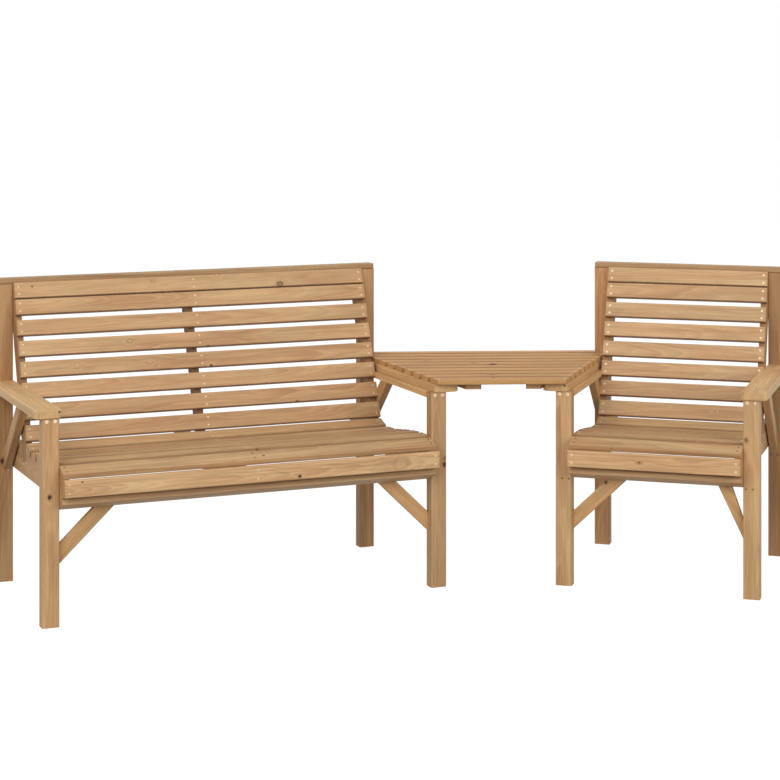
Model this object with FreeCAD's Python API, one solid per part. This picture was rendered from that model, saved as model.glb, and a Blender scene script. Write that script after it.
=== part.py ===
import FreeCAD, Part
import math
import os
from FreeCAD import Placement, Rotation, Vector

# A companion seat: a two-seat bench and a chair, turned towards each other, with a tray
# of slats that bridges their facing arms. Left and right are as seen from the front.
# Sizes are in millimetres and angles in degrees. Z is up and the front faces -Y.
# Each seat is first built square, with X from its left legs, Y back from the front of
# its front legs and Z up from the floor.

# Overall sizes
BENCH_WIDTH = 1210.0
CHAIR_WIDTH = 600.0
SEAT_HEIGHT = 445.6
ARM_RISE = 152.4
SEAT_SPACING = 323.0
SPLAY_ANGLE = 20.0

# Legs and rear posts
LEG_WIDTH = 48.0
LEG_DEPTH = 38.0
LEG_EASING = 3.0

# Slats of the seats and backs
SLAT_WIDTH = 48.0
SLAT_THICKNESS = 18.0
SLAT_EASING = 3.0

# Seat curve: how steeply each slat rises towards the rear, from the nose slat backwards,
# and the gaps between them. The second slat is the highest.
SEAT_TILTS = (20.0, 1.0, -4.9, -7.3, -7.6, -2.4, 18.0)
SECOND_SLAT_SETBACK = 49.0
NOSE_GAP = 18.0
SECOND_SLAT_GAP = 20.0
SEAT_SLAT_GAP = 15.7

# Front roll of the seat: an upright slat and a slat tucked under it
NOSE_STEP = 8.2
FRONT_SLAT_LIFT = 2.0
UNDER_SLAT_ANGLE = 25.5
UNDER_SLAT_DROP = 6.8
UNDER_SLAT_CLEARANCE = 0.9

# Contoured boards that carry the seat slats, and the rails that join the boards
BOARD_THICKNESS = 20.0
BOARD_SKIRT = 22.0
MIDDLE_SETBACK = 8.0
CROSS_RAIL_THICKNESS = 18.0
CROSS_RAIL_HEIGHT = 46.0

# Leaning back: battens, slats and the top rail
BACK_LEAN = 20.0
BATTEN_DEPTH = 45.0
BATTEN_FOOT = 34.0
BATTEN_CLEARANCE = 2.7
BACK_SLAT_COUNT = 8
BACK_SEAT_GAP = 3.0
BACK_SLAT_GAP = 14.57
TOP_SLAT_GAP = 2.6
POST_LEAD = 8.3
TOP_RAIL_THICKNESS = 16.0
TOP_RAIL_DEPTH = 44.0
TOP_RAIL_SETBACK = 6.0
TOP_RAIL_CLEARANCE = 1.1

# Arms. The two that carry the tray stand further out over their legs.
ARM_WIDTH = 75.0
ARM_THICKNESS = 25.0
ARM_FRONT_OVERHANG = 6.0
ARM_CORNER = 10.0
ARM_EASING = 3.0
PLAIN_ARM_OVERHANG = 21.0
TRAY_ARM_OVERHANG = 38.0
ARM_SLAT_CLEARANCE = 3.0
UNDER_RAIL_THICKNESS = 18.0

# Braces
ARM_BRACE_DROP = 6.0
ARM_BRACE_ANGLE = 45.0
ARM_BRACE_WIDTH = 38.0
ARM_BRACE_THICKNESS = 24.0
PLAIN_BRACE_INSET = 20.0
TRAY_BRACE_INSET = LEG_WIDTH - ARM_BRACE_THICKNESS
LEG_BRACE_RISE = 222.0
LEG_BRACE_FOOT_LENGTH = 54.0
LEG_BRACE_ANGLE = 43.7
LEG_BRACE_THICKNESS = 18.0
STEEP_BRACE_LOWER_ANGLE = 64.0
STEEP_BRACE_UPPER_ANGLE = 70.5
BRACE_EASING = 2.0

# Tray between the facing arms
TRAY_SLAT_WIDTH = 48.0
TRAY_SLAT_THICKNESS = 15.0
TRAY_SLAT_GAP = 13.9
TRAY_FRONT_OVERHANG = 30.0
TRAY_POST_CLEARANCE = 2.0
TRAY_BATTEN_WIDTH = 43.0
TRAY_BATTEN_THICKNESS = 18.0
TRAY_BATTEN_INSET = 30.0
BENCH_BATTEN_GAP = 16.0
CHAIR_BATTEN_GAP = 1.5

# Levels that follow from the sizes
ARM_HEIGHT = SEAT_HEIGHT + ARM_RISE
ARM_UNDERSIDE = ARM_HEIGHT - ARM_THICKNESS


# Plane geometry in the side view, where points are (y, z)

def shifted(point, direction, distance):
    """The point moved along a direction."""
    return (point[0] + direction[0] * distance, point[1] + direction[1] * distance)


def rising(angle):
    """Unit direction towards the rear that rises by an angle."""
    return (math.cos(math.radians(angle)), math.sin(math.radians(angle)))


def square_to(direction):
    """Unit direction a quarter turn anticlockwise from another."""
    return (-direction[1], direction[0])


def slat_section(face_centre, direction):
    """Corners of a slat: its outer face, front to rear, and then its inner face."""
    inward = square_to(direction)
    half = SLAT_WIDTH / 2.0
    front = shifted(face_centre, direction, -half)
    rear = shifted(face_centre, direction, half)
    return [front, rear, shifted(rear, inward, -SLAT_THICKNESS), shifted(front, inward, -SLAT_THICKNESS)]


def along(start, direction, height):
    """Point at a height on the line through a start point."""
    return (start[0] + (height - start[1]) * direction[0] / direction[1], height)


# Solids from outlines

def block(x_low, x_high, y_low, y_high, z_low, z_high):
    """Plain rectangular solid between six planes."""
    corner = Vector(x_low, y_low, z_low)
    return Part.makeBox(x_high - x_low, y_high - y_low, z_high - z_low, corner)


def extruded(corners, length):
    """Solid swept from a flat outline of vectors."""
    return Part.Face(Part.makePolygon(corners + corners[:1])).extrude(length)


def side_profile(outline, x_low, x_high):
    """Solid from an outline in the side view, given as (y, z)."""
    return extruded([Vector(x_low, y, z) for y, z in outline], Vector(x_high - x_low, 0, 0))


def front_profile(outline, y_low, y_high):
    """Solid from an outline in the front view, given as (x, z)."""
    return extruded([Vector(x, y_low, z) for x, z in outline], Vector(0, y_high - y_low, 0))


def plan_profile(outline, z_low, z_high):
    """Solid from an outline seen from above, given as (x, y)."""
    return extruded([Vector(x, y, z_low) for x, y in outline], Vector(0, 0, z_high - z_low))


def eased(solid, radius, direction):
    """Solid with a radius on each edge that runs in a direction."""
    line = Vector(*direction).normalize()
    edges = [edge for edge in solid.Edges if edge_line(edge).cross(line).Length < 1e-6]
    return solid.makeFillet(radius, edges)


def edge_line(edge):
    """Unit vector along a straight edge."""
    return (edge.lastVertex().Point - edge.firstVertex().Point).normalize()


def mirrored(solid, width):
    """The piece of a seat's other side."""
    return solid.mirror(Vector(width / 2.0, 0, 0), Vector(1, 0, 0))


# The seat curve and the lean of the back, shared by the bench and the chair

class SideView:
    """Lines of a seat seen from its side, worked out from the sizes."""

    def __init__(self):
        self.lay_seat_slats()
        self.lay_front_roll()
        self.lay_battens()
        self.lay_back_slats()
        self.lay_posts()

    def lay_seat_slats(self):
        """Walk along the curve both ways from the second slat, half a pitch at a time."""
        directions = [rising(tilt) for tilt in SEAT_TILTS]
        gaps = [NOSE_GAP, SECOND_SLAT_GAP] + [SEAT_SLAT_GAP] * (len(directions) - 3)
        centre = (SECOND_SLAT_SETBACK, SEAT_HEIGHT)
        nose_joint = shifted(centre, directions[1], -(SLAT_WIDTH + gaps[0]) / 2.0)
        centres = [shifted(nose_joint, directions[0], -(SLAT_WIDTH + gaps[0]) / 2.0), centre]
        joints = [nose_joint]
        for index in range(1, len(directions) - 1):
            half_pitch = (SLAT_WIDTH + gaps[index]) / 2.0
            joints.append(shifted(centres[-1], directions[index], half_pitch))
            centres.append(shifted(joints[-1], directions[index + 1], half_pitch))
        self.seat_sections = [slat_section(*slat) for slat in zip(centres, directions)]
        self.board_top = [
            self.under_joint(joint, directions[index], directions[index + 1])
            for index, joint in enumerate(joints)
        ]

    def under_joint(self, joint, before, after):
        """Where the inner faces of two neighbouring slats would meet."""
        first = square_to(before)
        second = square_to(after)
        spread = 1.0 + first[0] * second[0] + first[1] * second[1]
        bisector = (first[0] + second[0], first[1] + second[1])
        return shifted(joint, bisector, -SLAT_THICKNESS / spread)

    def lay_front_roll(self):
        """Upright slat under the nose slat, and the slat tucked in below it."""
        self.nose_corner = self.seat_sections[0][3]
        self.front_back_face = self.nose_corner[0] - NOSE_STEP
        self.front_top = self.nose_corner[1] + FRONT_SLAT_LIFT
        self.front_bottom = self.front_top - SLAT_WIDTH
        front_face = self.front_back_face - SLAT_THICKNESS
        upright_centre = (front_face, (self.front_top + self.front_bottom) / 2.0)
        self.front_section = slat_section(upright_centre, (0.0, 1.0))
        self.board_bottom = self.front_bottom - BOARD_SKIRT
        self.rail_top = self.board_bottom + CROSS_RAIL_HEIGHT
        self.brace_front = LEG_DEPTH - LEG_BRACE_THICKNESS
        falling = rising(-UNDER_SLAT_ANGLE)
        self.under_front = (
            self.brace_front - UNDER_SLAT_CLEARANCE - SLAT_WIDTH * falling[0],
            self.front_bottom - UNDER_SLAT_DROP,
        )
        inner_centre = shifted(self.under_front, falling, SLAT_WIDTH / 2.0)
        outer_centre = shifted(inner_centre, square_to(falling), -SLAT_THICKNESS)
        self.under_section = slat_section(outer_centre, (-falling[0], -falling[1]))
        self.under_exit = along(self.under_front, falling, self.board_bottom)

    def lay_battens(self):
        """Battens lean back from just behind the last seat slat."""
        self.lean = rising(90.0 - BACK_LEAN)
        self.depthwise = (self.lean[1], -self.lean[0])
        self.last_corner = self.seat_sections[-1][2]
        self.batten_front = (self.last_corner[0] + BATTEN_CLEARANCE, self.last_corner[1])
        self.batten_rear = shifted(self.batten_front, self.depthwise, BATTEN_DEPTH)
        self.foot_front = shifted(self.batten_front, self.lean, -BATTEN_FOOT)
        self.foot_rear = shifted(self.foot_front, self.depthwise, BATTEN_DEPTH)

    def lay_back_slats(self):
        """Slats at an even pitch up from the seat, with the top one close above the rest."""
        low = self.height_on_lean(self.seat_sections[-1][1]) + BACK_SEAT_GAP
        sections = []
        for index in range(BACK_SLAT_COUNT):
            sections.append(self.back_section(low))
            is_below_top = index == BACK_SLAT_COUNT - 2
            low += SLAT_WIDTH + (TOP_SLAT_GAP if is_below_top else BACK_SLAT_GAP)
        self.back_sections = list(reversed(sections))

    def lay_posts(self):
        """Rear posts and the top rail, whose front edge lies just over the top slat."""
        slat_top = self.height_on_lean(self.back_sections[0][2])
        corner_lead = (POST_LEAD - TOP_RAIL_SETBACK) * self.lean[0]
        batten_length = slat_top + TOP_RAIL_CLEARANCE + corner_lead
        batten_top = shifted(self.batten_front, self.lean, batten_length)
        self.post_height = batten_top[1]
        self.total_height = self.post_height + TOP_RAIL_THICKNESS
        self.post_front = batten_top[0] - POST_LEAD
        self.post_rear = self.post_front + LEG_DEPTH
        self.rail_front = self.post_front + TOP_RAIL_SETBACK

    def slat_front(self, height):
        """How far back the front faces of the back slats are at a height."""
        return along(shifted(self.batten_front, self.depthwise, -SLAT_THICKNESS), self.lean, height)[0]

    def height_on_lean(self, point):
        """Distance of a point up the lean from the foot of the back."""
        rise = point[1] - self.batten_front[1]
        return (point[0] - self.batten_front[0]) * self.lean[0] + rise * self.lean[1]

    def back_section(self, low):
        """Corners of a back slat whose lower edge is a distance up the lean."""
        rear = shifted(self.batten_front, self.lean, low + SLAT_WIDTH / 2.0)
        return slat_section(shifted(rear, self.depthwise, -SLAT_THICKNESS), self.lean)

    def board_outline(self, notched):
        """Board under the seat slats, with or without the notch for a batten's foot."""
        top = self.last_corner[1]
        outline = [(self.post_rear, self.board_bottom), (self.post_rear, top)]
        if notched:
            rear_edge = along(self.batten_rear, self.lean, top)
            outline += [rear_edge, self.foot_rear, self.foot_front, self.batten_front]
        outline.append(self.last_corner)
        outline += list(reversed(self.board_top))
        outline.append(self.nose_corner)
        outline.append((self.front_back_face, self.front_top))
        outline.append((self.front_back_face, self.front_bottom))
        outline += [self.under_front, self.under_exit]
        return outline

    def batten_outline(self):
        """Batten with a square foot and a top cut level under the rail."""
        front_top = along(self.batten_front, self.lean, self.post_height)
        rear_top = along(self.batten_rear, self.lean, self.post_height)
        return [self.foot_front, front_top, rear_top, self.foot_rear]


# One seat

class Seat:
    """A bench or a chair, built square before it is turned to its place."""

    def __init__(self, name, width, view):
        self.name = name
        self.width = width
        self.view = view
        self.nodes = {}

    def add(self, piece, solid):
        """Keep a piece under the seat's name."""
        self.nodes[self.name + "_" + piece] = solid

    def add_pair(self, piece, left_solid):
        """Keep a left piece and its mirror image on the right."""
        self.add(piece + "_left", left_solid)
        self.add(piece + "_right", mirrored(left_solid, self.width))

    def slat(self, section):
        """Slat that spans between the legs."""
        solid = side_profile(section, LEG_WIDTH, self.width - LEG_WIDTH)
        return eased(solid, SLAT_EASING, (1, 0, 0))

    def build_uprights(self):
        """Front legs, rear posts and the rail across the posts."""
        view = self.view
        leg = block(0, LEG_WIDTH, 0, LEG_DEPTH, 0, ARM_UNDERSIDE)
        post = block(0, LEG_WIDTH, view.post_front, view.post_rear, 0, view.post_height)
        self.add_pair("front_leg", eased(leg, LEG_EASING, (0, 0, 1)))
        self.add_pair("rear_post", eased(post, LEG_EASING, (0, 0, 1)))
        rail_rear = view.rail_front + TOP_RAIL_DEPTH
        rail = block(0, self.width, view.rail_front, rail_rear, view.post_height, view.total_height)
        self.add("top_rail", eased(rail, SLAT_EASING, (1, 0, 0)))

    def build_seat_frame(self):
        """Contoured side boards and the two rails between them."""
        view = self.view
        inner = LEG_WIDTH + BOARD_THICKNESS
        self.add_pair("seat_board", side_profile(view.board_outline(True), LEG_WIDTH, inner))
        outer = self.width - inner
        front_rear = LEG_DEPTH + CROSS_RAIL_THICKNESS
        rear_front = view.post_front - CROSS_RAIL_THICKNESS
        low = view.board_bottom
        high = view.rail_top
        self.add("cross_rail_front", block(inner, outer, LEG_DEPTH, front_rear, low, high))
        self.add("cross_rail_rear", block(inner, outer, rear_front, view.post_front, low, high))

    def build_battens(self):
        """Side battens, let into the seat boards."""
        outline = self.view.batten_outline()
        self.add_pair("batten", self.batten(outline, LEG_WIDTH))

    def batten(self, outline, x_low):
        """Batten whose rear edges are eased."""
        solid = side_profile(outline, x_low, x_low + BOARD_THICKNESS)
        middle = solid.CenterOfMass
        edges = [
            edge for edge in solid.Edges
            if abs(edge_line(edge).z) > 0.5 and edge.CenterOfMass.y > middle.y
        ]
        return solid.makeFillet(BRACE_EASING, edges)

    def build_middle(self):
        """Middle board over the cross rails, with the middle batten fixed to its side."""
        batten_low = self.width / 2.0 - MIDDLE_SETBACK - BOARD_THICKNESS
        x_low = batten_low - BOARD_THICKNESS
        board = side_profile(self.view.board_outline(False), x_low, x_low + BOARD_THICKNESS)
        rails = [self.nodes[self.name + "_cross_rail_" + end] for end in ("front", "rear")]
        self.add("seat_board_middle", board.cut(rails))
        self.add("batten_middle", self.batten(self.view.batten_outline(), batten_low))

    def build_slats(self, grouped):
        """Slats of the back, top to bottom, and of the seat, from the front underside up."""
        view = self.view
        back = [self.slat(section) for section in view.back_sections]
        seat = [self.slat(section) for section in [view.under_section, view.front_section]]
        seat += [self.slat(section) for section in view.seat_sections]
        if grouped:
            self.add("back_slats", Part.makeCompound(back))
            self.add("seat_slats", Part.makeCompound(seat))
            return
        for number, solid in enumerate(back, start=1):
            self.add("back_slat_%d" % number, solid)
        for number, solid in enumerate(seat, start=1):
            self.add("seat_slat_%d" % number, solid)

    def build_side(self, side, carries_tray):
        """Arm and arm brace of one side, with the rail under an arm that carries the tray."""
        overhang = TRAY_ARM_OVERHANG if carries_tray else PLAIN_ARM_OVERHANG
        brace_outer = TRAY_BRACE_INSET if carries_tray else PLAIN_BRACE_INSET
        underside = ARM_UNDERSIDE - UNDER_RAIL_THICKNESS if carries_tray else ARM_UNDERSIDE
        self.add_on(side, "arm", self.arm(overhang))
        self.add_on(side, "arm_brace", self.arm_brace(brace_outer, underside))
        if carries_tray:
            rail = block(0, LEG_WIDTH, LEG_DEPTH, self.view.post_front, underside, ARM_UNDERSIDE)
            self.add_on(side, "arm_rail", rail)

    def add_on(self, side, piece, left_solid):
        """Keep a piece, drawn for the left, on the side it belongs to."""
        solid = left_solid if side == "left" else mirrored(left_solid, self.width)
        self.add(piece + "_" + side, solid)

    def arm(self, overhang):
        """Arm with cut front corners, notched round the back slats and the rear post."""
        view = self.view
        front = -ARM_FRONT_OVERHANG
        outer = -overhang
        inner = ARM_WIDTH - overhang
        limit = view.post_front
        notch = []
        if inner > LEG_WIDTH:
            limit = view.slat_front(ARM_UNDERSIDE) - ARM_SLAT_CLEARANCE
            notch = [(inner, limit), (LEG_WIDTH, limit)]
        outline = [
            (outer + ARM_CORNER, front),
            (inner - ARM_CORNER, front),
            (inner, front + ARM_CORNER),
            *notch,
            (min(inner, LEG_WIDTH), view.post_front),
            (0.0, view.post_front),
            (0.0, view.post_rear),
            (outer, view.post_rear),
            (outer, front + ARM_CORNER),
        ]
        solid = plan_profile(outline, ARM_UNDERSIDE, ARM_HEIGHT)
        return self.eased_rim(solid, limit)

    def eased_rim(self, solid, limit):
        """Arm with its level edges eased, up to the rear post."""
        edges = [
            edge for edge in solid.Edges
            if abs(edge_line(edge).z) < 0.5 and edge.CenterOfMass.y < limit - ARM_EASING
        ]
        return solid.makeFillet(ARM_EASING, edges)

    def arm_brace(self, outer, underside):
        """Brace from the rear post's front up and forwards to the arm."""
        foot = (self.view.post_front, self.view.board_bottom - ARM_BRACE_DROP)
        forward = (-math.cos(math.radians(ARM_BRACE_ANGLE)), math.sin(math.radians(ARM_BRACE_ANGLE)))
        foot_top = (foot[0], foot[1] + ARM_BRACE_WIDTH / -forward[0])
        outline = [foot, foot_top, along(foot_top, forward, underside), along(foot, forward, underside)]
        solid = side_profile(outline, outer, outer + ARM_BRACE_THICKNESS)
        return eased(solid, BRACE_EASING, (0, forward[0], forward[1]))

    def leg_brace(self, lower_angle, upper_angle):
        """Brace from the inside of a front leg up to the front of the front cross rail."""
        view = self.view
        low = (LEG_WIDTH, view.rail_top - LEG_BRACE_RISE)
        high = (LEG_WIDTH, low[1] + LEG_BRACE_FOOT_LENGTH)
        low_head = along(low, rising(lower_angle), view.rail_top)
        high_head = along(high, rising(upper_angle), view.rail_top)
        solid = front_profile([low, low_head, high_head, high], view.brace_front, LEG_DEPTH)
        edges = [
            edge for edge in solid.Edges
            if abs(edge_line(edge).z) > 0.1 and edge.CenterOfMass.x > LEG_WIDTH + BRACE_EASING
        ]
        return solid.makeFillet(BRACE_EASING, edges)

    def build_leg_braces(self, right_is_steep):
        """One brace inside each front leg."""
        even = self.leg_brace(LEG_BRACE_ANGLE, LEG_BRACE_ANGLE)
        steep = self.leg_brace(STEEP_BRACE_LOWER_ANGLE, STEEP_BRACE_UPPER_ANGLE)
        self.add_on("left", "leg_brace", even)
        self.add_on("right", "leg_brace", steep if right_is_steep else even)


# The tray

class Tray:
    """Slats across the facing arms, in the plane midway between the two seats."""

    def __init__(self, view):
        self.view = view
        self.turn = math.radians(SPLAY_ANGLE)
        self.front = -TRAY_FRONT_OVERHANG
        arm_rear = TRAY_ARM_OVERHANG * math.sin(self.turn) + view.post_rear * math.cos(self.turn)
        pitch = TRAY_SLAT_WIDTH + TRAY_SLAT_GAP
        self.count = round((arm_rear - self.front + TRAY_SLAT_GAP) / pitch)
        self.starts = [self.front + pitch * index for index in range(self.count)]
        self.rear = self.starts[-1] + TRAY_SLAT_WIDTH

    def half_width(self, inward, y):
        """Half the clear width at a depth, on a line moved in from the legs' outer faces."""
        return SEAT_SPACING / 2.0 - inward / math.cos(self.turn) + y * math.tan(self.turn)

    def slats(self):
        """Slats cut along the arms' inner edges and clear of the rear posts."""
        inner_edge = TRAY_ARM_OVERHANG - ARM_WIDTH
        posts = self.post_spaces()
        solids = []
        for start in self.starts:
            end = start + TRAY_SLAT_WIDTH
            front_half = self.half_width(inner_edge, start)
            rear_half = self.half_width(inner_edge, end)
            outline = [(-front_half, start), (front_half, start), (rear_half, end), (-rear_half, end)]
            board = plan_profile(outline, ARM_HEIGHT, ARM_HEIGHT + TRAY_SLAT_THICKNESS)
            solids.append(eased(board, SLAT_EASING, (1, 0, 0)).cut(posts))
        return Part.makeCompound([solid for cut in solids for solid in cut.Solids])

    def post_spaces(self):
        """Room round the two rear posts and the back slats beside the tray, and all of the seats behind it."""
        reach = ARM_WIDTH + LEG_WIDTH
        front = self.view.post_front - TRAY_POST_CLEARANCE
        space = block(-reach, TRAY_POST_CLEARANCE, front, front + reach, 0, self.view.total_height)
        slat_side = TRAY_POST_CLEARANCE - LEG_WIDTH
        slat_front = self.view.slat_front(ARM_HEIGHT) - ARM_SLAT_CLEARANCE
        space = space.fuse(block(-reach, slat_side, slat_front, front, 0, self.view.total_height))
        bench_space = space.copy()
        bench_space.Placement = bench_placement(0.0)
        chair_space = mirrored(space, 0.0)
        chair_space.Placement = chair_placement()
        return [bench_space, chair_space]

    def batten(self, side, gap):
        """Batten under the slats, alongside an arm."""
        outer = TRAY_ARM_OVERHANG + gap
        inner = outer + TRAY_BATTEN_WIDTH
        front = self.front + TRAY_BATTEN_INSET
        rear = self.rear - TRAY_BATTEN_INSET
        outline = [
            (side * self.half_width(outer, front), front),
            (side * self.half_width(inner, front), front),
            (side * self.half_width(inner, rear), rear),
            (side * self.half_width(outer, rear), rear),
        ]
        return plan_profile(outline, ARM_HEIGHT - TRAY_BATTEN_THICKNESS, ARM_HEIGHT)


# Assembly

def bench_placement(width):
    """The bench's front right corner stands left of the middle, turned to face in."""
    turned = Placement(Vector(-SEAT_SPACING / 2.0, 0, 0), Rotation(Vector(0, 0, 1), SPLAY_ANGLE))
    return turned.multiply(Placement(Vector(-width, 0, 0), Rotation()))


def chair_placement():
    """The chair's front left corner stands right of the middle, turned to face in."""
    return Placement(Vector(SEAT_SPACING / 2.0, 0, 0), Rotation(Vector(0, 0, 1), -SPLAY_ANGLE))


def placed(nodes, placement):
    """Copies of a seat's pieces, moved to their place in the set."""
    return {name: solid.transformed(placement.toMatrix()) for name, solid in nodes.items()}


def build_bench(view):
    """Two-seat bench with a middle board and batten; its right arm carries the tray."""
    bench = Seat("bench", BENCH_WIDTH, view)
    bench.build_uprights()
    bench.build_seat_frame()
    bench.build_battens()
    bench.build_middle()
    bench.build_slats(grouped=False)
    bench.build_side("left", carries_tray=False)
    bench.build_side("right", carries_tray=True)
    bench.build_leg_braces(right_is_steep=False)
    return placed(bench.nodes, bench_placement(BENCH_WIDTH))


def build_chair(view):
    """Chair whose left arm carries the tray."""
    chair = Seat("chair", CHAIR_WIDTH, view)
    chair.build_uprights()
    chair.build_seat_frame()
    chair.build_battens()
    chair.build_slats(grouped=True)
    chair.build_side("left", carries_tray=True)
    chair.build_side("right", carries_tray=False)
    chair.build_leg_braces(right_is_steep=True)
    return placed(chair.nodes, chair_placement())


def build_tray(view):
    """Tray slats and the two battens under them."""
    tray = Tray(view)
    return {
        "tray_slats": tray.slats(),
        "tray_batten_left": tray.batten(-1.0, BENCH_BATTEN_GAP),
        "tray_batten_right": tray.batten(1.0, CHAIR_BATTEN_GAP),
    }


def centred(nodes):
    """All pieces moved so that the origin is on the floor under the middle of the set."""
    box = FreeCAD.BoundBox()
    for solid in nodes.values():
        box.add(solid.optimalBoundingBox(False))
    shift = Vector(-box.Center.x, -box.Center.y, -box.ZMin)
    return {name: solid.translated(shift) for name, solid in nodes.items()}


def main():
    """Build every piece and write one file for each."""
    view = SideView()
    nodes = {}
    nodes.update(build_bench(view))
    nodes.update(build_chair(view))
    nodes.update(build_tray(view))
    os.makedirs("parts", exist_ok=True)
    for name, solid in centred(nodes).items():
        solid.exportStep("parts/%s.step" % name)


main()
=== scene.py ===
import logging
import math
import operator
import random
import zlib
from dataclasses import dataclass, field
from enum import Enum

import bmesh
import bpy
from mathutils import Matrix, Vector


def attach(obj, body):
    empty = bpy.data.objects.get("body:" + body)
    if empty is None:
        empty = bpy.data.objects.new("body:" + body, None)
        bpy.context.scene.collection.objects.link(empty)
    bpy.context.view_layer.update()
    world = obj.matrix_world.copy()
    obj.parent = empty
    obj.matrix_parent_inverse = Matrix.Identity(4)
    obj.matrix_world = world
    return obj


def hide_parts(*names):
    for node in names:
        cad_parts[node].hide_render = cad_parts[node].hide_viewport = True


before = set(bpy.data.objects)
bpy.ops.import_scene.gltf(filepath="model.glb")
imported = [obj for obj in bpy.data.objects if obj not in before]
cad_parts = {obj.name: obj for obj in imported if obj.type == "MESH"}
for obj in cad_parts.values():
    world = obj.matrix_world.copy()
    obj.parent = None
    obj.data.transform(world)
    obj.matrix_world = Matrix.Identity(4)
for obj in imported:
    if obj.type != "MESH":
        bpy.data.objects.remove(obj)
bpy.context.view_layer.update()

LOG = logging.getLogger("companion_seat")

Triple = tuple[float, float, float]
Paint = tuple[float, float, float, float]
Node = bpy.types.Node
Socket = bpy.types.NodeSocket
Sockets = dict[str, Socket]

UP = Vector((0.0, 0.0, 1.0))
WHITE = (1.0, 1.0, 1.0, 1.0)


# Named options

class Side(Enum):
    """Which end of a seat, as seen from the front."""

    LEFT = "left"
    RIGHT = "right"


class Cut(Enum):
    """How a board was sawn out of the log: pith distance below the face, and its tilt."""

    FLAT = (0.022, 0.030)
    RIFT = (0.060, 0.016)
    QUARTER = (0.130, 0.006)


class KnotKind(Enum):
    """Looks of a knot: darkness of its core, of its outline and of the wood round it, and paleness."""

    RINGED = (0.50, 0.66, 0.30, 0.0)
    BLACK = (0.98, 0.85, 0.34, 0.0)
    LIGHT = (0.0, 0.50, 0.14, 0.35)
    PALE = (0.0, 0.12, 0.05, 0.42)
    FIGURE = (0.0, 0.15, 0.0, 0.10)


class Tint(Enum):
    """Factors on the red, green and blue of a wood's main colour."""

    HONEY = (1.10, 1.17, 1.17)
    RUSSET = (0.97, 0.88, 0.82)
    LATE = (0.60, 0.50, 0.42)
    HALO = (0.62, 0.50, 0.40)
    # Colour of the painted shade along the lower edges of boards.
    CREASE = (0.30, 0.22, 0.17)
    # Pale colour of early wood, flecks and pale knots, and of rubbed upper arrises, where it is partly a
    # painted highlight.
    RUBBED = (1.34, 1.44, 1.52)


# Finishes

@dataclass(frozen=True)
class WoodFinish:
    """Stained softwood: its main colour in linear light and the strength of each effect."""

    main: Triple
    knot: Triple = (0.045, 0.018, 0.008)
    ring_spacing: float = 0.0032
    ring_contrast: float = 0.36
    early_contrast: float = 0.26
    band_contrast: float = 1.0
    tone_spread: float = 0.04
    # Strength of the pale upper arrises: rubbed wear, partly a painted highlight.
    wear: float = 0.26
    # Strength of the painted shade along a board's lower edge.
    stain: float = 0.80
    streak: float = 0.03
    roughness: float = 0.60
    bump: float = 0.35

    def tint(self, tint: Tint) -> Paint:
        """The main colour of early, slow, late or knotty wood, of rubbed wood with its painted highlight, or
        of painted shade.
        """
        return (*(part * factor for part, factor in zip(self.main, tint.value)), 1.0)


@dataclass(frozen=True)
class MetalFinish:
    """Metal of a screw head and how worn it looks."""

    bright: Triple
    dull: Triple
    roughness: float


@dataclass(frozen=True)
class StudioFinish:
    """Floor and background."""

    floor: Triple = (0.34, 0.34, 0.34)
    floor_glow: float = 0.87
    background_light: float = 0.40


BACK_WOOD = WoodFinish(main=(0.575, 0.348, 0.175))
CHAIR_BACK_WOOD = WoodFinish(main=(0.605, 0.378, 0.196))
SEAT_WOOD = WoodFinish(main=(0.590, 0.366, 0.185), ring_contrast=0.40, streak=0.07, stain=0.45)
RAIL_WOOD = WoodFinish(main=(0.515, 0.330, 0.168), ring_contrast=0.60, streak=0.10, stain=0.25)
ARM_WOOD = WoodFinish(main=(0.710, 0.456, 0.218), stain=0.10)
TRAY_WOOD = WoodFinish(main=(0.620, 0.342, 0.132), wear=0.45, streak=0.08, stain=0.55)
LEG_WOOD = WoodFinish(main=(0.595, 0.365, 0.178), ring_spacing=0.0045, ring_contrast=0.30, stain=0.20)
POST_WOOD = WoodFinish(main=(0.515, 0.290, 0.134), ring_spacing=0.0045, stain=0.20)
# Dark batten wood: partly the battens' own colour, partly painted shade, as they show only in the shade
# between slats.
BATTEN_WOOD_AND_SHADE = WoodFinish(main=(0.370, 0.195, 0.082), roughness=0.72, stain=0.0)
FRAME_WOOD = WoodFinish(main=(0.510, 0.300, 0.134), stain=0.20)
PLUG_WOOD = WoodFinish(main=(0.880, 0.690, 0.460), ring_spacing=0.0016, ring_contrast=0.20)
ZINC = MetalFinish(bright=(0.900, 0.770, 0.560), dull=(0.640, 0.500, 0.330), roughness=0.45)
OLD_ZINC = MetalFinish(bright=(0.880, 0.720, 0.500), dull=(0.620, 0.470, 0.300), roughness=0.50)
DARK_STEEL = MetalFinish(bright=(0.090, 0.055, 0.035), dull=(0.030, 0.020, 0.014), roughness=0.55)


# Extra darkness of single pieces

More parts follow.
